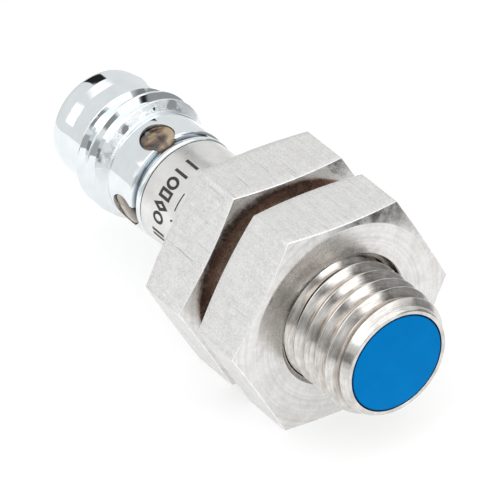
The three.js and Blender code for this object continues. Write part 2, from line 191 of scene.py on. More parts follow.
class Turned:
    """Rows of points round the barrel's axis, which become one closed skin."""

    def __init__(self, turns=None):
        self.turns = np.linspace(0, 1, COLUMNS + 1) if turns is None else turns
        self.rows = []

    def row(self, depth, radius, mark=0):
        flat = np.ones_like(self.turns)
        self.rows.append((flat * depth, flat * radius, mark))

    def outline(self, points, mark=0):
        for depth, radius in points:
            self.row(depth, radius, mark)

    def helix(self, form, first_crest, start, end, limit, mark=0):
        """Rows that climb with a right-hand thread. form holds one pitch as
        offsets from the crest and radii; limit(depth, radius) trims it."""
        offsets, radii = form
        first = math.floor((start - first_crest) / PITCH) - 2
        last = math.ceil((end - first_crest) / PITCH) + 1
        for turn_number in range(first, last + 1):
            for offset in offsets[:-1]:
                depth = first_crest + (turn_number + offset + self.turns) * PITCH
                if depth[-1] < start - PITCH or depth[0] > end + PITCH:
                    continue
                depth = np.clip(depth, start, end)
                share = (depth - first_crest) / PITCH - self.turns
                share = (share + 0.5) % 1 - 0.5
                radius = limit(depth, np.interp(share, offsets, radii))
                self.rows.append((depth, radius, mark))

    def mesh(self, name):
        """The skin as a mesh; its last row joins its first."""
        depth = np.array([row[0] for row in self.rows])
        radius = np.array([row[1] for row in self.rows])
        angle = 2 * math.pi * self.turns
        points = np.stack([-depth, radius * np.sin(angle), radius * np.cos(angle)], -1)
        count, width = depth.shape
        faces = []
        marks = []
        for i in range(count):
            below = i * width
            above = ((i + 1) % count) * width
            for j in range(width - 1):
                faces.append((below + j, below + j + 1, above + j + 1, above + j))
                marks.append(self.rows[i][2])
        mesh = bpy.data.meshes.new(name)
        mesh.from_pydata((points.reshape(-1, 3) * MM).tolist(), [], faces)
        mesh.polygons.foreach_set("material_index", marks)
        return clean(mesh)


def mesh_of(work, name):
    """Makes a mesh of a bmesh and frees it."""
    mesh = bpy.data.meshes.new(name)
    work.to_mesh(mesh)
    work.free()
    return mesh


def clean(mesh):
    """Joins points that coincide and turns every face outwards."""
    work = bmesh.new()
    work.from_mesh(mesh)
    bmesh.ops.remove_doubles(work, verts=work.verts, dist=MERGE * MM)
    bmesh.ops.dissolve_degenerate(work, edges=work.edges, dist=MERGE * MM / 4)
    bmesh.ops.recalc_face_normals(work, faces=work.faces)
    if work.calc_volume(signed=True) < 0:
        bmesh.ops.reverse_faces(work, faces=work.faces)
    work.to_mesh(mesh)
    work.free()
    return mesh


def thread_form(crest, root, crest_flat=CREST_FLAT, crest_round=0.04, root_round=0.14):
    """One pitch of a V thread: offsets from the crest, in pitches, and radii."""
    foot = 0.5 - ROOT_FLAT / 2
    points = rounded([
        (-0.5, root), (-foot, root, root_round), (-crest_flat / 2, crest, crest_round),
        (crest_flat / 2, crest, crest_round), (foot, root, root_round), (0.5, root),
    ])
    return np.array([p[0] for p in points]), np.array([p[1] for p in points])


def add_object(name, data):
    """Puts a new object of this mesh, light or camera in the scene."""
    item = bpy.data.objects.new(name, data)
    bpy.context.scene.collection.objects.link(item)
    return item


def add_piece(name, mesh, materials, body, stands_for=(), crease=35):
    """Makes an object of a mesh, shades it and puts it on its body."""
    for material in materials:
        mesh.materials.append(material)
    mesh.polygons.foreach_set("use_smooth", [True] * len(mesh.polygons))
    mesh.set_sharp_from_angle(angle=math.radians(crease))
    piece = add_object(name, mesh)
    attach(piece, body)
    if stands_for:
        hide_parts(*stands_for)
    return piece


def round_cutter(radius, length, columns, place):
    """A cylinder for a cut, with its middle and its own Z put at a place."""
    work = bmesh.new()
    bmesh.ops.create_cone(
        work, cap_ends=True, segments=columns, radius1=radius * MM, radius2=radius * MM,
        depth=length * MM)
    bmesh.ops.transform(work, matrix=place, verts=work.verts)
    return mesh_of(work, "cutter")


def window_cutter(angle, inner=2.6, outer=4.6):
    """Cuts a window through the plug's wall, between two radii."""
    lift = Matrix.Translation((0, 0, (inner + outer) / 2 * MM))
    turn = Matrix.Rotation(math.radians(angle - 90), 4, "X")
    place = Matrix.Translation((-WINDOW_DEPTH * MM, 0, 0)) @ turn @ lift
    return round_cutter(WINDOW_RADIUS, outer - inner, 72, place)


def pin_cutter(y, z, overrun=1.0):
    """Cuts a pin's hole right through the contact carrier."""
    middle = (INSERT_START + INSERT_END) / 2 * MM
    turn = Matrix.Rotation(math.pi / 2, 4, "Y")
    place = Matrix.Translation((-middle, y * MM, z * MM)) @ turn
    length = INSERT_END - INSERT_START + 2 * overrun
    return round_cutter(PIN_HOLE_RADIUS, length, 40, place)


def cut(mesh, cutters):
    """Cuts each cutter mesh out of a mesh and returns the new mesh."""
    target = add_object("cut_target", mesh)
    tools = []
    for cutter in cutters:
        tool = add_object("cut_tool", cutter)
        modifier = target.modifiers.new("cut", "BOOLEAN")
        modifier.operation = "DIFFERENCE"
        modifier.solver = "EXACT"
        modifier.object = tool
        tools.append(tool)
    graph = bpy.context.evaluated_depsgraph_get()
    result = bpy.data.meshes.new_from_object(target.evaluated_get(graph))
    for item in [target, *tools]:
        data = item.data
        bpy.data.objects.remove(item)
        bpy.data.meshes.remove(data)
    return result


# ------------ Material helpers
WHITE = (1.0, 1.0, 1.0)


class Paint:
    """A material with one Principled shader, built node by node. Patterns use
    object coordinates, counted in millimetres."""

    def __init__(self, name, roughness=0.5, metallic=0.0, **sockets):
        self.material = bpy.data.materials.new(name)
        self.material.use_nodes = True
        self.tree = self.material.node_tree
        self.shader = self.tree.nodes["Principled BSDF"]
        self.place = self.tree.nodes.new("ShaderNodeTexCoord").outputs["Object"]
        self.set("Roughness", roughness)
        self.set("Metallic", metallic)
        for socket, value in sockets.items():
            self.set(socket.replace("_", " "), value)

    def set(self, socket, value):
        self.shader.inputs[socket].default_value = value

    def link(self, output, node, socket):
        self.tree.links.new(output, node.inputs[socket])

    def mapped(self, scale):
        """Coordinates with this many units to the millimetre on each axis."""
        node = self.tree.nodes.new("ShaderNodeMapping")
        sizes = scale if isinstance(scale, tuple) else (scale,) * 3
        node.inputs["Scale"].default_value = [s / MM for s in sizes]
        self.link(self.place, node, "Vector")
        return node.outputs["Vector"]

    def noise(self, scale, detail=3.0, roughness=0.5, distortion=0.0):
        node = self.tree.nodes.new("ShaderNodeTexNoise")
        node.inputs["Scale"].default_value = 1.0
        node.inputs["Detail"].default_value = detail
        node.inputs["Roughness"].default_value = roughness
        node.inputs["Distortion"].default_value = distortion
        self.link(self.mapped(scale), node, "Vector")
        return node.outputs["Fac"]

    def cells(self, scale, feature="F1"):
        node = self.tree.nodes.new("ShaderNodeTexVoronoi")
        node.feature = feature
        node.inputs["Scale"].default_value = 1.0
        self.link(self.mapped(scale), node, "Vector")
        return node.outputs["Distance"]

    def radius(self):
        """Distance from the barrel's axis, in millimetres."""
        node = self.tree.nodes.new("ShaderNodeVectorMath")
        node.operation = "LENGTH"
        self.link(self.mapped((0.0, 1.0, 1.0)), node, "Vector")
        return node.outputs["Value"]

    def depth(self):
        """Distance behind the sensing face, in millimetres."""
        node = self.tree.nodes.new("ShaderNodeSeparateXYZ")
        self.link(self.mapped((-1.0, 1.0, 1.0)), node, "Vector")
        return node.outputs["X"]

    def between(self, value, low, high):
        """Runs from 0 at low to 1 at high, smoothly."""
        node = self.tree.nodes.new("ShaderNodeMapRange")
        node.interpolation_type = "SMOOTHSTEP"
        node.inputs["From Min"].default_value = low
        node.inputs["From Max"].default_value = high
        self.link(value, node, "Value")
        return node.outputs["Result"]

    def ramp(self, factor, *stops):
        """Turns a factor into a colour or a grey through (place, value) stops."""
        node = self.tree.nodes.new("ShaderNodeValToRGB")
        elements = node.color_ramp.elements
        while len(elements) < len(stops):
            elements.new(0.5)
        for element, (place, value) in zip(elements, stops):
            element.position = place
            colour = value if isinstance(value, tuple) else (value,) * 3
            element.color = (*colour, 1.0)
        self.link(factor, node, "Fac")
        return node.outputs["Color"]

    def mix(self, factor, a, b, kind="MIX"):
        """Mixes a with b. Each may be an output, a number or a colour."""
        node = self.tree.nodes.new("ShaderNodeMix")
        node.data_type = "RGBA"
        node.blend_type = kind
        for key, value in (("Factor_Float", factor), ("A_Color", a), ("B_Color", b)):
            socket = next(s for s in node.inputs if s.identifier == key)
            if isinstance(value, tuple):
                socket.default_value = (*value, 1.0)
            elif not isinstance(value, float):
                self.tree.links.new(value, socket)
            elif key == "Factor_Float":
                socket.default_value = value
            else:
                socket.default_value = (value, value, value, 1.0)
        return next(s for s in node.outputs if s.identifier == "Result_Color")

    def bump(self, height, depth, strength, under=None):
        """A relief of this depth in millimetres."""
        node = self.tree.nodes.new("ShaderNodeBump")
        node.inputs["Strength"].default_value = strength
        node.inputs["Distance"].default_value = depth * MM
        self.link(height, node, "Height")
        if under is not None:
            self.link(under, node, "Normal")
        return node.outputs["Normal"]

    def rings(self, scale, detail, roughness):
        """Noise that changes only with the distance from the barrel's axis."""
        node = self.tree.nodes.new("ShaderNodeTexNoise")
        node.noise_dimensions = "1D"
        node.inputs["Scale"].default_value = scale
        node.inputs["Detail"].default_value = detail
        node.inputs["Roughness"].default_value = roughness
        self.link(self.radius(), node, "W")
        return node.outputs["Fac"]

    def radial_grain(self, amount):
        """Stretches highlights across marks that run round the barrel."""
        node = self.tree.nodes.new("ShaderNodeTangent")
        node.direction_type = "RADIAL"
        node.axis = "X"
        self.set("Anisotropic", amount)
        self.link(node.outputs["Tangent"], self.shader, "Tangent")

    def finished(self, colour, relief, roughness=None):
        """Links what varies over the surface and returns the material."""
        self.link(colour, self.shader, "Base Color")
        self.link(relief, self.shader, "Normal")
        if roughness is not None:
            self.link(roughness, self.shader, "Roughness")
        return self.material


def make_turned_steel():
    """Bright turned steel with fine marks that run round the barrel. On the thread the colour
    darkens towards the roots, as painted shade in the grooves, and carries random darker streaks.
    """
    paint = Paint("turned_steel", roughness=0.2, metallic=1.0)
    marks = paint.noise((24, 0.7, 0.7), detail=4, roughness=0.65)
    cloud = paint.noise(1.6, detail=4, roughness=0.6)
    tone = paint.ramp(marks, (0.3, (0.6, 0.58, 0.555)), (0.7, (0.84, 0.83, 0.815)))
    stain = paint.ramp(cloud, (0.35, (0.8, 0.785, 0.765)), (0.65, WHITE))
    tone = paint.mix(1.0, tone, stain, "MULTIPLY")
    streaks = paint.noise((5.5, 0.45, 0.45), detail=3, roughness=0.6)
    streak = paint.ramp(streaks, (0.34, (0.76, 0.725, 0.695)), (0.48, WHITE))
    # Painted shade: the thread's roots are darker and browner than its crests.
    root = paint.between(paint.radius(), ROOT_RADIUS - 0.02, ROOT_RADIUS + 0.26)
    on_thread = paint.between(paint.depth(), NOSE_DEPTH - 0.2, NOSE_DEPTH + 0.1)
    groove = paint.mix(root, (0.7, 0.655, 0.615), WHITE)
    groove = paint.mix(1.0, groove, streak, "MULTIPLY")
    shade = paint.mix(on_thread, WHITE, groove)
    tone = paint.mix(1.0, tone, shade, "MULTIPLY")
    roughness = paint.ramp(cloud, (0.3, 0.12), (0.7, 0.27))
    return paint.finished(tone, paint.bump(marks, 0.006, 0.6), roughness)


def make_satin_steel():
    """Fine-ground neck of the sleeve."""
    paint = Paint("satin_steel", roughness=0.32, metallic=1.0)
    marks = paint.noise((30, 1, 1), detail=4, roughness=0.6)
    cloud = paint.noise(1.1, detail=3)
    tone = paint.ramp(cloud, (0.3, (0.7, 0.695, 0.68)), (0.7, (0.82, 0.815, 0.8)))
    roughness = paint.ramp(marks, (0.3, 0.26), (0.7, 0.38))
    return paint.finished(tone, paint.bump(marks, 0.004, 0.5), roughness)


def make_nut_flats():
    """Drawn hexagon bar: fine grain, blotches, painted glints and scratches that run
    along the bar."""
    paint = Paint("drawn_flats", roughness=0.45, metallic=1.0)
    grain = paint.noise(8, detail=5, roughness=0.75)
    blotches = paint.noise(1.7, detail=4, roughness=0.65)
    streaks = paint.noise((0.3, 4.5, 4.5), detail=4, roughness=0.6)
    scratches = paint.noise((0.22, 7, 7), detail=2, roughness=0.5)
    glints = paint.ramp(paint.cells(4.2), (0.0, 1.0), (0.15, 0.0))
    tone = paint.ramp(grain, (0.32, (0.66, 0.66, 0.655)), (0.68, (0.92, 0.92, 0.915)))
    patch = paint.ramp(blotches, (0.3, (0.9, 0.895, 0.89)), (0.65, WHITE))
    band = paint.ramp(streaks, (0.3, (0.92, 0.915, 0.91)), (0.62, WHITE))
    line = paint.ramp(scratches, (0.27, (0.66, 0.65, 0.64)), (0.31, WHITE))
    for layer in (patch, band, line):
        tone = paint.mix(1.0, tone, layer, "MULTIPLY")
    # Painted glints: light specks mixed into the colour.
    tone = paint.mix(glints, tone, (1.0, 1.0, 0.995))
    roughness = paint.ramp(blotches, (0.3, 0.52), (0.7, 0.36))
    relief = paint.bump(streaks, 0.012, 0.4)
    relief = paint.bump(scratches, 0.02, 0.3, relief)
    relief = paint.bump(grain, 0.05, 0.75, relief)
    return paint.finished(tone, relief, roughness)


def make_nut_faces(name, dark, light):
    """Turned faces and corners of the nuts, with circular tool marks."""
    paint = Paint(name, roughness=0.3, metallic=1.0)
    rings = paint.rings(5.0, detail=4.0, roughness=0.55)
    cloud = paint.noise(1.3, detail=4, roughness=0.6)
    scuffs = paint.noise(2.2, detail=3, roughness=0.5, distortion=0.4)
    tone = paint.ramp(rings, (0.3, dark), (0.7, light))
    stain = paint.ramp(cloud, (0.3, (0.86, 0.85, 0.835)), (0.6, WHITE))
    tone = paint.mix(1.0, tone, stain, "MULTIPLY")
    roughness = paint.ramp(scuffs, (0.35, 0.18), (0.7, 0.34))
    relief = paint.bump(rings, 0.006, 0.35)
    relief = paint.bump(scuffs, 0.02, 0.3, relief)
    paint.radial_grain(0.5)
    return paint.finished(tone, relief, roughness)


def make_nut_edges():
    """Edges of the nuts, lighter than the flats: a painted highlight along each edge."""
    paint = Paint("painted_edge_highlight", roughness=0.4, metallic=1.0)
    edge_noise = paint.noise(3.5, detail=4, roughness=0.7)
    # Painted highlight: the edges' tone runs lighter than the flats'.
    tone = paint.ramp(edge_noise, (0.36, (0.82, 0.815, 0.805)), (0.56, (1.0, 1.0, 0.995)))
    roughness = paint.ramp(edge_noise, (0.3, 0.5), (0.7, 0.3))
    return paint.finished(tone, paint.bump(edge_noise, 0.02, 0.4), roughness)


def make_chrome():
    """Bright plating over fine turning marks, with grainy patches, and painted shade where the
    surface lies below the band's radius.
    """
    paint = Paint("bright_plating", roughness=0.07, metallic=1.0)
    marks = paint.noise((16, 0.8, 0.8), detail=4, roughness=0.6)
    cloud = paint.noise(0.9, detail=3, roughness=0.55)
    pits = paint.noise(13, detail=3, roughness=0.7)
    runin_start = PLUG_THREAD_START - 0.06
    runin_end = PLUG_THREAD_START + 0.89
    patch = paint.mix(
        1.0, paint.between(paint.depth(), runin_start, runin_start + 0.2),
        paint.between(paint.depth(), runin_end, runin_end - 0.2), "MULTIPLY")
    patch = paint.mix(1.0, patch, paint.ramp(cloud, (0.4, 0.0), (0.5, 1.0)), "MULTIPLY")
    tone = paint.ramp(cloud, (0.3, (0.75, 0.8, 0.825)), (0.7, (0.83, 0.865, 0.885)))
    # Painted shade: the plating turns darker the closer it lies to the axis below the band's
    # radius, most in the recess and the bore.
    recess = paint.between(paint.radius(), RECESS_RADIUS, SHELL_RADIUS - 0.06)
    shade = paint.mix(recess, (0.34, 0.37, 0.4), WHITE)
    tone = paint.mix(1.0, tone, shade, "MULTIPLY")
    roughness = paint.mix(patch, 0.05, paint.ramp(pits, (0.3, 0.1), (0.7, 0.3)))
    relief = paint.bump(marks, 0.003, 0.35)
    relief = paint.bump(paint.mix(patch, 0.5, pits), 0.05, 0.8, relief)
    return paint.finished(tone, relief, roughness)


def make_cap_blue():
    """Satin blue moulding of the sensing face, darkened at its rim by painted shadow of the gap
    to the sleeve.
    """
    paint = Paint("cap_blue", roughness=0.42, Specular_IOR_Level=0.015)
    cloud = paint.noise(0.8, detail=3)
    grain = paint.noise(18, detail=3, roughness=0.6)
    tone = paint.ramp(cloud, (0.3, (0.0, 0.184, 0.515)), (0.7, (0.0, 0.2, 0.55)))
    # Painted shadow: the blue turns navy at the cap's rim, where the gap to the sleeve lies.
    rim = paint.between(paint.radius(), CAP_RADIUS, CAP_RADIUS - 0.1)
    tone = paint.mix(rim, (0.0, 0.02, 0.09), tone)
    roughness = paint.ramp(grain, (0.3, 0.36), (0.7, 0.5))
    return paint.finished(tone, paint.bump(grain, 0.004, 0.35), roughness)


def make_amber():
    """Smoky clear moulding of the light guide, with a mottled dark tone and light
    gold specks in its colour."""
    paint = Paint(
        "smoky_amber", roughness=0.1, IOR=1.5, Transmission_Weight=0.2, Coat_Weight=0.5,
        Coat_Roughness=0.04)
    cloud = paint.noise(0.95, detail=2.5, roughness=0.55, distortion=0.7)
    specks = paint.ramp(paint.cells(1.7), (0.0, 1.0), (0.2, 0.0))
    tone = paint.ramp(
        cloud, (0.38, (0.022, 0.014, 0.012)), (0.46, (0.13, 0.075, 0.05)),
        (0.54, (0.2, 0.14, 0.08)), (0.64, (0.42, 0.32, 0.2)))
    tone = paint.mix(specks, tone, (0.8, 0.68, 0.5))
    roughness = paint.ramp(cloud, (0.3, 0.05), (0.7, 0.16))
    return paint.finished(tone, paint.bump(cloud, 0.08, 0.5), roughness)


def make_grained(name, dark, light, roughness, scale=6.0, depth=0.01, **sockets):
    """A moulded, cast or sintered surface: two tones and a fine relief."""
    paint = Paint(name, roughness=roughness, **sockets)
    grain = paint.noise(scale, detail=4, roughness=0.6)
    cloud = paint.noise(scale / 7, detail=3)
    tone = paint.ramp(cloud, (0.3, dark), (0.7, light))
    low = max(roughness - 0.08, 0.02)
    high = min(roughness + 0.1, 1.0)
    varied = paint.ramp(grain, (0.3, low), (0.7, high))
    return paint.finished(tone, paint.bump(grain, depth, 0.5), varied)


def make_wire_coil():
    """Enamelled copper turns, seen as fine rounds along the coil."""
    paint = Paint("enamelled_copper", roughness=0.28, metallic=1.0)
    wave = paint.tree.nodes.new("ShaderNodeTexWave")
    wave.bands_direction = "X"
    wave.inputs["Scale"].default_value = 1.0
    wave.inputs["Distortion"].default_value = 0.3
    paint.link(paint.mapped(2.2), wave, "Vector")
    tone = paint.ramp(wave.outputs["Fac"], (0.1, (0.2, 0.06, 0.02)), (0.8, (0.72, 0.3, 0.12)))
    return paint.finished(tone, paint.bump(wave.outputs["Fac"], 0.04, 0.8))


def make_board():
    """Solder mask with faint copper lines beneath it."""
    paint = Paint("solder_mask", roughness=0.35)
    tracks = paint.cells((1.4, 2.2, 1.4), "DISTANCE_TO_EDGE")
    tone = paint.ramp(tracks, (0.05, (0.05, 0.26, 0.11)), (0.12, (0.015, 0.13, 0.05)))
    return paint.finished(tone, paint.bump(tracks, 0.02, 0.4))


turned_steel = make_turned_steel()
satin_steel = make_satin_steel()
nut_flats = make_nut_flats()
nut_faces = make_nut_faces("turned_faces", (0.71, 0.7, 0.685), (0.8, 0.795, 0.785))
# A darker, browner copy of the turned faces for the nut faces that look into the gap between the
# nuts: painted shade.
nut_gap_shaded_faces = make_nut_faces("gap_shaded_faces", (0.56, 0.45, 0.4), (0.64, 0.535, 0.48))
nut_edges = make_nut_edges()
chrome = make_chrome()
cap_blue = make_cap_blue()
amber = make_amber()
ink = make_grained("print_ink", (0.012, 0.011, 0.01), (0.03, 0.028, 0.026), 0.5, 14, 0.002)
black_moulding = make_grained(
    "black_moulding", (0.012, 0.012, 0.013), (0.028, 0.028, 0.03), 0.42, 8, 0.01)
gold = make_grained(
    "gold_plating", (0.72, 0.5, 0.18), (0.86, 0.64, 0.27), 0.18, 10, 0.004, metallic=1.0)


# ------------ Threaded sleeve
def make_sleeve():
    """The threaded barrel with its bevelled nose and smooth neck."""
    skin = Turned()
    skin.outline(rounded([
        (SEAT_DEPTH / 2, SEAT_RADIUS), (0, SEAT_RADIUS, 0.03), (0, RIM_RADIUS, 0.05),
        (NOSE_START, NOSE_START_RADIUS),
    ]))
    form = thread_form(CREST_RADIUS, ROOT_RADIUS)
    trim_depths = [
        0, NOSE_DEPTH, NOSE_DEPTH + 0.14, THREAD_END - THREAD_RUNOUT, THREAD_END - 0.05]
    untrimmed = CREST_RADIUS + 0.15
    trim_radii = [RIM_RADIUS, NOSE_RADIUS, untrimmed, untrimmed, NECK_RADIUS]

    def limit(depth, radius):
        return np.minimum(radius, np.interp(depth, trim_depths, trim_radii))

    skin.helix(form, CREST_DEPTH, NOSE_START, THREAD_END, limit)
    skin.outline(rounded([
        (THREAD_END + 0.02, NECK_RADIUS), (SLEEVE_END, NECK_RADIUS, 0.05),
        (SLEEVE_END, BORE_RADIUS, 0.03), (SEAT_DEPTH, BORE_RADIUS, 0.02),
        (SEAT_DEPTH, SEAT_RADIUS, 0.02), (SEAT_DEPTH / 2, SEAT_RADIUS),
    ]), mark=1)
    add_piece(
        "housing_sleeve_fine", skin.mesh("housing_sleeve_fine"), [turned_steel, satin_steel],
        "barrel", ["housing_sleeve"], crease=40)


def make_cap():
    """The blue cup whose bottom is the sensing face."""
    skin = Turned()
    skin.outline(rounded([
        (0, 0), (0, CAP_RADIUS * 0.5), (0, CAP_RADIUS, 0.06), (CAP_END, CAP_RADIUS, 0.03),
        (CAP_END, CAP_BORE_RADIUS, 0.03), (CAP_FACE, CAP_BORE_RADIUS, 0.1), (CAP_FACE, 0),
    ]))
    add_piece(
        "sensing_cap_fine", skin.mesh("sensing_cap_fine"), [cap_blue], "barrel",
        ["sensing_cap"])


# ------------ Lock nuts
# Material slots of a nut, in the order in which make_nut lists them
FLATS, FACE, THREAD, GAP_SHADED_FACE, EDGE = range(5)
CORNER_STEPS = 4
FLAT_STEPS = 24
SIDE_STEPS = 8

# Where a face's rows lie: on its flat ring, on its chamfer and round its edge
RING_RADII = (NUT_SINK_RADIUS + 0.03, 4.5, 4.9, 5.3, 5.7, 6.0, NUT_FACE_RADIUS - 0.03)
CHAMFER_SHARES = (0.04, 0.35, 0.7)
EDGE_BENDS = (0, 30, 60)


def hexagon_outline():
    """Turns and radii of a hexagon with slightly rounded corners."""
    centre = (NUT_APOTHEM - NUT_CORNER_ROUND) / math.cos(math.pi / 6)

    def on_corner(towards, swing):
        """A point on the rounding of the corner that lies towards an angle."""
        bend = towards + math.radians(swing)
        return np.array([
            centre * math.sin(towards) + NUT_CORNER_ROUND * math.sin(bend),
            centre * math.cos(towards) + NUT_CORNER_ROUND * math.cos(bend)])

    points = []
    for corner in range(6):
        towards = math.radians(30 + 60 * corner)
        for step in range(CORNER_STEPS + 1):
            points.append(on_corner(towards, 60 * step / CORNER_STEPS - 30))
        last = points[-1]
        reach = on_corner(towards + math.radians(60), -30)
        for step in range(1, FLAT_STEPS):
            points.append(last + (reach - last) * step / FLAT_STEPS)
    angles = np.array([math.atan2(p[0], p[1]) for p in points])
    turns = np.unwrap(angles) / (2 * math.pi)
    radii = np.array([np.linalg.norm(p) for p in points])
    return np.append(turns, turns[0] + 1), np.append(radii, radii[0])


def make_nut(name, depth, body, clamp_side):
    """A lock nut. clamp_side is 1 where its front face meets the bracket and -1
    where its rear face does. That face looks into the gap between the nuts, and
    its flat ring gets the darker material of painted shade."""
    turns, hexagon = hexagon_outline()
    skin = Turned(turns)
    end = depth + NUT_THICKNESS
    edge = NUT_EDGE_ROUND
    rim = hexagon - edge
    rise = (rim - NUT_FACE_RADIUS) * NUT_CHAMFER_SLOPE

    def face(side):
        """Rows of one face as (inset, radius, mark): outwards from the bore on
        the front face and inwards on the rear face."""
        # The ring of the face towards the gap takes the painted shade material.
        ring = GAP_SHADED_FACE if side == clamp_side else FACE
        rows = [(0.0, radius, ring) for radius in RING_RADII]
        for share in CHAMFER_SHARES:
            rows.append((rise * share, NUT_FACE_RADIUS + (rim - NUT_FACE_RADIUS) * share, FACE))
        for bend in EDGE_BENDS:
            out = math.sin(math.radians(bend))
            back = 1 - math.cos(math.radians(bend))
            rows.append((rise + edge * back, rim + edge * out, EDGE))
        rows.append((rise + edge, hexagon, FLATS))
        if side > 0:
            return rows
        marks = [row[2] for row in rows[-2::-1]] + [ring]
        return [(row[0], row[1], mark) for row, mark in zip(reversed(rows), marks)]

    def put(depths, radius, mark):
        flat = np.ones_like(turns)
        skin.rows.append((depths * flat, radius * flat, mark))

    for inset, radius, mark in face(1):
        put(depth + inset, radius, mark)
    low = depth + rise + edge
    high = end - rise - edge
    for share in np.linspace(0, 1, SIDE_STEPS + 1)[1:-1]:
        put(low + (high - low) * share, hexagon, FLATS)
    for inset, radius, mark in face(-1):
        put(end - inset, radius, mark)
    form = thread_form(CREST_RADIUS + NUT_THREAD_CLEARANCE, ROOT_RADIUS + NUT_THREAD_CLEARANCE)

    def limit(depths, radius):
        """Opens the bore to a 45 degree countersink at both ends."""
        near = np.minimum(depths - depth, end - depths)
        return np.maximum(radius, NUT_SINK_RADIUS - near)

    bore = Turned(turns)
    bore.helix(form, CREST_DEPTH, depth, end, limit, mark=THREAD)
    skin.rows.extend(reversed(bore.rows))
    piece = add_piece(
        name + "_fine", skin.mesh(name + "_fine"),
        [nut_flats, nut_faces, turned_steel, nut_gap_shaded_faces, nut_edges], body,
        [name], crease=50)
    modifier = piece.modifiers.new("even_shading", "WEIGHTED_NORMAL")
    modifier.keep_sharp = True
    modifier.weight = 60


# ------------ Plug connector
def make_shell():
    """The plated plug body: its tail sits in the sleeve, then come a collar, a
    recess, the band with the windows, the plug's thread and its lip."""
    skin = Turned()
    skin.outline(rounded([
        (POCKET_START, SHELL_BORE_RADIUS), (SHELL_START, SHELL_BORE_RADIUS, 0.03),
        (SHELL_START, SHELL_TAIL_RADIUS, 0.03), (COLLAR_START, SHELL_TAIL_RADIUS),
        (COLLAR_START, 3.38, 0.02), (COLLAR_START + 0.09, 3.46, 0.04),
        (RECESS_START - 0.15, COLLAR_RADIUS, 0.08), (RECESS_START, 3.36, 0.05),
        (RECESS_START + 0.06, RECESS_RADIUS, 0.05), (RECESS_END - 0.08, RECESS_RADIUS, 0.05),
        (RECESS_END, 3.4, 0.04), (BAND_START, SHELL_RADIUS, 0.04), (BAND_END, SHELL_RADIUS, 0.03),
        (BAND_END + 0.06, 3.4, 0.015), (PLUG_THREAD_START - 0.02, 3.42),
    ]))
    form = thread_form(
        PLUG_CREST_RADIUS, ROOT_RADIUS, crest_flat=0.14, crest_round=0.09, root_round=0.12)
    trim_depths = [
        PLUG_THREAD_START, PLUG_THREAD_START + PLUG_THREAD_RUNIN,
        PLUG_THREAD_END - PLUG_THREAD_RUNOUT, PLUG_THREAD_END]
    untrimmed = PLUG_CREST_RADIUS + 0.05
    trim_radii = [SHELL_RADIUS, untrimmed, untrimmed, SHELL_RADIUS - 0.04]

    def limit(depth, radius):
        return np.minimum(radius, np.interp(depth, trim_depths, trim_radii))

    skin.helix(form, PLUG_CREST_DEPTH, PLUG_THREAD_START, PLUG_THREAD_END, limit)
    skin.outline(rounded([
        (PLUG_THREAD_END + 0.02, 3.4), (LIP_START - 0.07, 3.42, 0.02),
        (LIP_START, LIP_RADIUS, 0.04), (28.25, LIP_RADIUS, 0.08), (29.0, 3.53, 0.03),
        (29.6, 3.46, 0.2), (30.0, 3.36, 0.15), (30.2, 3.22, 0.1), (SHELL_END, 3.08, 0.05),
        (SHELL_END, 3.02, 0.04), (SHELL_END - 0.16, PLUG_BORE_RADIUS, 0.05),
        (CARRIER_SEAT, PLUG_BORE_RADIUS, 0.02), (CARRIER_SEAT, SHELL_BORE_RADIUS, 0.02),
        (POCKET_END, SHELL_BORE_RADIUS, 0.02), (POCKET_END, SHELL_TAIL_RADIUS, 0.02),
        (POCKET_START, SHELL_TAIL_RADIUS, 0.02), (POCKET_START, SHELL_BORE_RADIUS),
    ]))
    cutters = [window_cutter(angle) for angle in WINDOW_ANGLES]
    mesh = cut(skin.mesh("connector_shell_turned"), cutters)
    mesh.name = "connector_shell_fine"
    add_piece(
        "connector_shell_fine", mesh, [chrome], "barrel", ["connector_shell"],
        crease=32)


def make_light_guide():
    """A ring inside the plug with a domed boss in each window."""
    seam = 22.0
    ring = Turned()
    ring.outline(rounded([
        (seam, GUIDE_BORE_RADIUS), (GUIDE_START, GUIDE_BORE_RADIUS, 0.03),
        (GUIDE_START, GUIDE_RADIUS, 0.03), (GUIDE_END, GUIDE_RADIUS, 0.03),
        (GUIDE_END, GUIDE_BORE_RADIUS, 0.03), (seam, GUIDE_BORE_RADIUS),
    ]))
    work = bmesh.new()
    work.from_mesh(ring.mesh("light_guide_ring"))
    boss_radius = WINDOW_RADIUS - 0.02
    boss_foot = GUIDE_RADIUS - 0.2
    profile = rounded([
        (boss_foot, 0.0), (boss_foot, boss_radius), (GUIDE_TOP - 0.12, boss_radius, 0.08),
        (GUIDE_TOP - 0.03, boss_radius * 0.6, 0.3), (GUIDE_TOP, 0.0),
    ])
    columns = 56
    for window_angle in WINDOW_ANGLES:
        angle = math.radians(window_angle)
        outwards = Vector((0, math.cos(angle), math.sin(angle)))
        across = Vector((0, -math.sin(angle), math.cos(angle)))
        centre = Vector((-WINDOW_DEPTH, 0, 0))
        rows = []
        for height, radius in profile:
            row = []
            for column in range(columns):
                swing = 2 * math.pi * column / columns
                point = (centre + outwards * height
                         + Vector((radius * math.cos(swing), 0, 0))
                         + across * (radius * math.sin(swing)))
                row.append(work.verts.new(point * MM))
            rows.append(row)
        for low, high in zip(rows, rows[1:]):
            for column in range(columns):
                after = (column + 1) % columns
                work.faces.new((low[column], low[after], high[after], high[column]))
    mesh = clean(mesh_of(work, "light_guide_fine"))
    add_piece(
        "light_guide_fine", mesh, [amber], "barrel", ["light_guide"])


def rolled(y, z):
    """Turns a place across the barrel by the roll of the inner assembly."""
    roll = math.radians(BOARD_ROLL)
    return (y * math.cos(roll) - z * math.sin(roll), y * math.sin(roll) + z * math.cos(roll))


PIN_PLACES = {
    "contact_pin_1": (PIN_SPREAD, -PIN_OFFSET),
    "contact_pin_3": (-PIN_SPREAD, -PIN_OFFSET),
    "contact_pin_4": (0.0, PIN_OFFSET),
}


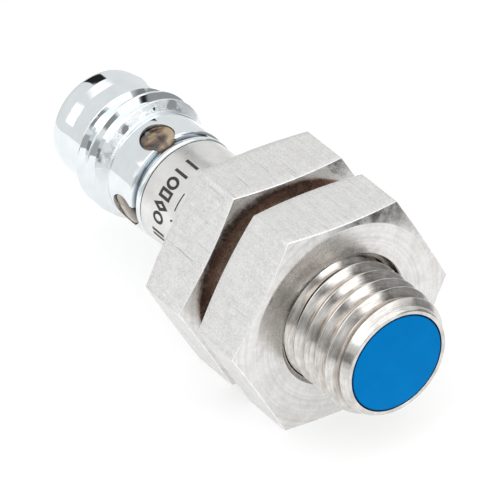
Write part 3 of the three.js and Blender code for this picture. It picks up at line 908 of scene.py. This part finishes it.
def make_pins():
    """Three contact pins with tapered, rounded tips."""
    for name, place in PIN_PLACES.items():
        skin = Turned(np.linspace(0, 1, 49))
        skin.outline(rounded([
            (PIN_START, 0), (PIN_START, PIN_RADIUS, 0.06),
            (PIN_END - PIN_TAPER, PIN_RADIUS, 0.15),
            (PIN_END - 0.12, 0.33, 0.15), (PIN_END, PIN_TIP_RADIUS, 0.08), (PIN_END, 0),
        ]))
        mesh = skin.mesh(name + "_fine")
        y, z = rolled(*place)
        mesh.transform(Matrix.Translation((0, y * MM, z * MM)))
        add_piece(name + "_fine", mesh, [gold], "barrel", [name])


def make_insert():
    """Contact carrier with a dished end, pin holes, a keyway and a seal's groove."""
    skin = Turned(np.linspace(0, 1, 97))
    skin.outline(rounded([
        (INSERT_START, 0), (INSERT_START, INSERT_RADIUS, 0.05),
        (SEAL_START, INSERT_RADIUS, 0.03), (SEAL_START, SEAL_GROOVE_RADIUS, 0.03),
        (SEAL_END, SEAL_GROOVE_RADIUS, 0.03), (SEAL_END, INSERT_RADIUS, 0.03),
        (INSERT_END, INSERT_RADIUS, 0.08), (INSERT_END, DISH_RADIUS + 0.1),
        (INSERT_END - DISH_DEPTH, DISH_RADIUS, 0.02), (INSERT_END - DISH_DEPTH, 0),
    ]))
    cutters = [pin_cutter(*rolled(*place)) for place in PIN_PLACES.values()]
    key_end = INSERT_END + 1.0
    key = bmesh.new()
    bmesh.ops.create_cube(key, size=1.0)
    grow = Matrix.Diagonal((
        (key_end - KEYWAY_START) * MM, KEYWAY_WIDTH * MM, KEYWAY_HEIGHT * MM, 1.0))
    shift = Matrix.Translation((-(KEYWAY_START + key_end) / 2 * MM, 0, INSERT_RADIUS * MM))
    roll = Matrix.Rotation(math.radians(BOARD_ROLL), 4, "X")
    bmesh.ops.transform(key, matrix=roll @ shift @ grow, verts=key.verts)
    cutters.append(mesh_of(key, "keyway"))
    mesh = cut(skin.mesh("connector_insert_turned"), cutters)
    mesh.name = "connector_insert_fine"
    add_piece(
        "connector_insert_fine", mesh, [black_moulding], "barrel",
        ["connector_insert"], crease=30)


# ------------ Generic print on the neck
PRINT_RADII = (NECK_RADIUS + 0.001, NECK_RADIUS + 0.006)
PRINT_START = 18.42
PRINT_END = 19.38
PRINT_SIDE = 17.66
BAR_ANGLES = (106.5, 120.5, 189, 195)
RING_ANGLES = (133, 172)
SQUARE_ANGLE = 146
DIAMOND_ANGLE = 159
LINE_ANGLES = (134.5, 153)
DOT_ANGLE = 164.5
MARK_HALF_ANGLE = 3.6
RING_HALF_LENGTH = 0.4
RING_HALF_WIDTH = 0.3
STROKE = 0.2
THIN_STROKE = 0.09
DOT_STROKE = 0.12
MITRE_LIMIT = 0.45
LINE_STEP = 0.08


def print_line(work, points, closed=False, width=STROKE):
    """A printed line on the neck through (depth, angle in degrees) points: a
    thin closed film with mitred corners."""
    flat = [Vector((d, math.radians(a) * NECK_RADIUS)) for d, a in points]
    ways = [(flat[i + 1] - flat[i]).normalized() for i in range(len(flat) - 1)]
    if closed:
        ways.append((flat[0] - flat[-1]).normalized())
    else:
        flat[0] = flat[0] - ways[0] * width / 2
        flat[-1] = flat[-1] + ways[-1] * width / 2
    sides = []
    for i in range(len(flat)):
        before = ways[i - 1] if closed or i > 0 else ways[0]
        after = ways[i] if closed or i < len(ways) else ways[-1]
        mitre = (before + after).normalized()
        mitre = Vector((-mitre.y, mitre.x))
        spread = max(mitre.dot(Vector((-before.y, before.x))), MITRE_LIMIT)
        sides.append(mitre * (width / 2 / spread))
    spots = []
    for i in range(len(ways)):
        after = (i + 1) % len(flat)
        steps = max(2, int((flat[after] - flat[i]).length / LINE_STEP))
        for step in range(steps):
            t = step / steps
            spots.append((flat[i].lerp(flat[after], t), sides[i].lerp(sides[after], t)))
    if not closed:
        spots.append((flat[-1], sides[-1]))
    rows = []
    for middle, side in spots:
        row = []
        for corner, radius in (
                (middle - side, PRINT_RADII[1]), (middle + side, PRINT_RADII[1]),
                (middle + side, PRINT_RADII[0]), (middle - side, PRINT_RADII[0])):
            angle = corner.y / NECK_RADIUS
            row.append(work.verts.new(Vector((
                -corner.x, radius * math.cos(angle), radius * math.sin(angle))) * MM))
        rows.append(row)
    pairs = list(zip(rows, rows[1:]))
    if closed:
        pairs.append((rows[-1], rows[0]))
    else:
        work.faces.new(rows[0])
        work.faces.new(rows[-1])
    for low, high in pairs:
        for i in range(4):
            j = (i + 1) % 4
            work.faces.new((low[i], low[j], high[j], high[i]))


def ring_points(angle):
    """Points of a ring whose middle is at this angle."""
    points = []
    for step in range(14):
        swing = 2 * math.pi * step / 14
        across = RING_HALF_WIDTH * math.sin(swing) / NECK_RADIUS
        points.append((
            (PRINT_START + PRINT_END) / 2 + RING_HALF_LENGTH * math.cos(swing),
            angle + math.degrees(across)))
    return points


def make_print():
    """A row of plain marks, a short line and a dot."""
    work = bmesh.new()
    for angle in BAR_ANGLES:
        print_line(work, [(PRINT_START, angle), (PRINT_END, angle)])
    for angle in RING_ANGLES:
        print_line(work, ring_points(angle), closed=True)
    low = PRINT_START + 0.06
    high = PRINT_END - 0.06
    before = SQUARE_ANGLE - MARK_HALF_ANGLE
    after = SQUARE_ANGLE + MARK_HALF_ANGLE
    print_line(work, [(low, before), (high, before), (high, after), (low, after)], closed=True)
    middle = (PRINT_START + PRINT_END) / 2
    before = DIAMOND_ANGLE - MARK_HALF_ANGLE
    after = DIAMOND_ANGLE + MARK_HALF_ANGLE
    print_line(work, [
        (PRINT_START, DIAMOND_ANGLE), (middle, before), (PRINT_END, DIAMOND_ANGLE),
        (middle, after)], closed=True)
    print_line(work, [(PRINT_SIDE, angle) for angle in LINE_ANGLES], width=THIN_STROKE)
    low = (PRINT_SIDE - 0.02, DOT_ANGLE - 0.3)
    high = (PRINT_SIDE + 0.04, DOT_ANGLE + 0.3)
    print_line(work, [low, high], width=DOT_STROKE)
    mesh = clean(mesh_of(work, "neck_print"))
    add_piece("neck_print", mesh, [ink], "barrel")


make_sleeve()
make_cap()
make_nut("nut_front", NUT_FRONT_DEPTH, "front_nut", -1)
make_nut("nut_rear", NUT_REAR_DEPTH, "rear_nut", 1)
make_shell()
make_light_guide()
make_pins()
make_insert()
make_print()

# ------------ Finishes of the CAD nodes that stay
nylon = make_grained("natural_nylon", (0.6, 0.56, 0.46), (0.74, 0.7, 0.6), 0.45, 5)
rubber = make_grained("seal_rubber", (0.01, 0.01, 0.01), (0.022, 0.022, 0.022), 0.7, 9, 0.02)
ferrite = make_grained("sintered_ferrite", (0.022, 0.022, 0.025), (0.055, 0.053, 0.055), 0.6, 8)
brass = make_grained(
    "turned_brass", (0.5, 0.36, 0.14), (0.68, 0.5, 0.24), 0.3, 8, 0.006, metallic=1.0)
copper_coil = make_wire_coil()
copper_lead = make_grained(
    "copper_lead", (0.5, 0.18, 0.07), (0.72, 0.3, 0.13), 0.25, 12, 0.004, metallic=1.0)
chip_black = make_grained("chip_moulding", (0.01, 0.01, 0.01), (0.024, 0.024, 0.024), 0.5, 12)
chip_tan = make_grained("chip_ceramic", (0.34, 0.23, 0.12), (0.5, 0.36, 0.21), 0.42, 9)
lens = make_grained("led_lens", (0.75, 0.5, 0.12), (0.9, 0.72, 0.28), 0.2, 6, 0.004)
film = make_grained("liner_film", (0.42, 0.25, 0.04), (0.6, 0.38, 0.09), 0.35, 4, 0.006)
resin = make_grained("cast_resin", (0.018, 0.015, 0.012), (0.04, 0.034, 0.028), 0.4, 3, 0.02)
NODE_FINISHES = {
    "insert_seal": rubber,
    "shield_ring": brass,
    "coil_bobbin": nylon,
    "coil_winding": copper_coil,
    "insulating_liner": film,
    "ferrite_core": ferrite,
    "coil_lead_left": copper_lead,
    "coil_lead_right": copper_lead,
    "circuit_board": make_board(),
    "capacitor_tank": chip_tan,
    "oscillator_chip": chip_black,
    "output_transistor": chip_black,
    "resistor_trim": chip_tan,
    "suppressor_diode": chip_black,
    "capacitor_input": chip_tan,
    "resistor_led": chip_tan,
    "led_upper": lens,
    "led_lower": lens,
    "potting_plug": resin,
}
for node_name, finish in NODE_FINISHES.items():
    for material_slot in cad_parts[node_name].material_slots:
        material_slot.material = finish

# ------------ Floor, light and camera
# Places and sizes here are in metres.
FLOOR_HALF = 0.035
FLOOR_GAP = 0.00002
TABLE_GLOW = 0.66


def make_floor():
    """A pale light table that the nuts' lower flats rest on."""
    low = cad_low.z - FLOOR_GAP
    middle = (cad_low.x + cad_high.x) / 2
    corners = [
        (middle + x * FLOOR_HALF, y * FLOOR_HALF, low)
        for x, y in ((-1, -1), (1, -1), (1, 1), (-1, 1))]
    mesh = bpy.data.meshes.new("floor")
    mesh.from_pydata(corners, [], [(0, 1, 2, 3)])
    paint = Paint("white_table", roughness=0.7, Specular_IOR_Level=0.1)
    cloud = paint.noise(0.02, detail=2)
    paint.link(paint.ramp(cloud, (0.2, 0.35), (0.8, 0.37)), paint.shader, "Base Color")
    paint.set("Emission Color", (1.0, 1.0, 1.0, 1.0))
    paint.set("Emission Strength", TABLE_GLOW)
    mesh.materials.append(paint.material)
    floor = add_object("floor", mesh)


# The studio is white all round, with cards and soft boxes painted on it. A card
# is its direction, half width and half height as tangents, brightness, and the
# softness of its edge. A later card covers an earlier one.
BASE_LIGHT = 0.86
CARDS = [
    ((0.02, -0.1, 1.0), 0.66, 1.0, 1.5, 0.12),
    ((0.83, 0.33, 0.46), 0.22, 0.26, 2.2, 0.08),
    ((0.92, -0.12, 0.36), 0.1, 0.24, 0.3, 0.06),
    ((0.62, 0.71, 0.3), 0.22, 0.22, 0.24, 0.1),
    ((0.675, 0.675, 0.285), 0.13, 0.15, 0.02, 0.04),
    ((0.93, 0.15, -0.25), 0.35, 0.2, 1.1, 0.06),
    ((0.36, 0.93, -0.07), 0.62, 0.5, 0.34, 0.08),
    ((0.71, 0.65, -0.27), 0.2, 0.16, 0.06, 0.08),
    ((0.2, -0.98, 0.08), 0.2, 0.12, 0.3, 0.06),
    ((-0.45, -0.84, 0.3), 0.14, 0.2, 1.4, 0.04),
    ((-0.45, -0.66, 0.6), 0.13, 0.22, 1.4, 0.04),
    ((0.83, -0.53, -0.16), 0.3, 0.25, 0.42, 0.1),
    ((-0.88, 0.28, 0.38), 0.14, 0.2, 0.02, 0.03),
]


class World:
    """The studio's light as one pattern of directions, node by node."""

    def __init__(self):
        world = bpy.data.worlds.new("studio")
        bpy.context.scene.world = world
        world.use_nodes = True
        self.tree = world.node_tree
        self.background = self.tree.nodes["Background"]
        self.place = self.tree.nodes.new("ShaderNodeTexCoord").outputs["Generated"]

    def math(self, operation, *values):
        node = self.tree.nodes.new("ShaderNodeMath")
        node.operation = operation
        for socket, value in zip(node.inputs, values):
            if isinstance(value, (int, float)):
                socket.default_value = value
            else:
                self.tree.links.new(value, socket)
        return node.outputs["Value"]

    def along(self, direction):
        """How far each ray points along a direction."""
        node = self.tree.nodes.new("ShaderNodeVectorMath")
        node.operation = "DOT_PRODUCT"
        self.tree.links.new(self.place, node.inputs[0])
        node.inputs[1].default_value = direction
        return node.outputs["Value"]

    def fade(self, value, edge, softness):
        """Falls from 1 at an edge to 0, smoothly."""
        node = self.tree.nodes.new("ShaderNodeMapRange")
        node.interpolation_type = "SMOOTHSTEP"
        node.inputs["From Min"].default_value = edge
        node.inputs["From Max"].default_value = edge + softness
        node.inputs["To Min"].default_value = 1.0
        node.inputs["To Max"].default_value = 0.0
        self.tree.links.new(value, node.inputs["Value"])
        return node.outputs["Result"]

    def card(self, under, direction, half_width, half_height, level, softness):
        """Covers the light under it with one card."""
        middle = Vector(direction).normalized()
        side = middle.cross(Vector((0, 0, 1))).normalized()
        ahead = self.math("MAXIMUM", self.along(middle), 0.001)
        mask = self.math("GREATER_THAN", self.along(middle), 0.01)
        for axis, half in ((side, half_width), (side.cross(middle), half_height)):
            share = self.math("ABSOLUTE", self.math("DIVIDE", self.along(axis), ahead))
            mask = self.math("MULTIPLY", mask, self.fade(share, half, softness))
        rest = self.math("MULTIPLY", under, self.math("SUBTRACT", 1.0, mask))
        return self.math("ADD", rest, self.math("MULTIPLY", mask, level))


def make_world():
    """The cards light the object; the camera itself sees plain white."""
    world = World()
    light = BASE_LIGHT
    for card in CARDS:
        light = world.card(light, *card)
    path = world.tree.nodes.new("ShaderNodeLightPath")
    seen = world.math("MAXIMUM", light, path.outputs["Is Camera Ray"])
    world.tree.links.new(seen, world.background.inputs["Strength"])
    world.background.inputs["Color"].default_value = (1.0, 1.0, 1.0, 1.0)


KEY_PLACE = Vector((0.1, -0.35, 0.4))
KEY_AIM = Vector((-0.015, 0, 0))
KEY_SIZE = 0.3
KEY_POWER = 0.35


def make_key_light():
    """One large soft lamp, high on the camera's side of the barrel."""
    data = bpy.data.lights.new("key_soft", "AREA")
    data.size = KEY_SIZE
    data.energy = KEY_POWER
    lamp = add_object("key_soft", data)
    lamp.location = KEY_PLACE
    lamp.rotation_euler = (KEY_AIM - KEY_PLACE).to_track_quat("-Z", "Y").to_euler()


CAMERA_AIM = Vector((-0.014006, -0.00026, -0.000217))
CAMERA_AZIMUTH = 54.632
CAMERA_ELEVATION = 34.739
CAMERA_ROLL = 0.688
CAMERA_DISTANCE = 0.30946
CAMERA_LENS = 385.455


def make_camera():
    """The camera looks at its aim from an azimuth, an elevation and a distance."""
    azimuth = math.radians(CAMERA_AZIMUTH)
    elevation = math.radians(CAMERA_ELEVATION)
    back = Vector((
        math.sin(azimuth) * math.cos(elevation), -math.cos(azimuth) * math.cos(elevation),
        math.sin(elevation)))
    data = bpy.data.cameras.new("camera")
    data.sensor_width = 36
    data.lens = CAMERA_LENS
    data.clip_start = 0.01
    data.clip_end = 10
    camera = add_object("camera", data)
    turn = (-back).to_track_quat("-Z", "Y").to_matrix().to_4x4()
    roll = Matrix.Rotation(math.radians(CAMERA_ROLL), 4, "Z")
    camera.matrix_world = Matrix.Translation(CAMERA_AIM + back * CAMERA_DISTANCE) @ turn @ roll
    bpy.context.scene.camera = camera


make_floor()
make_world()
make_camera()
make_key_light()
bpy.context.scene.view_settings.view_transform = "Standard"
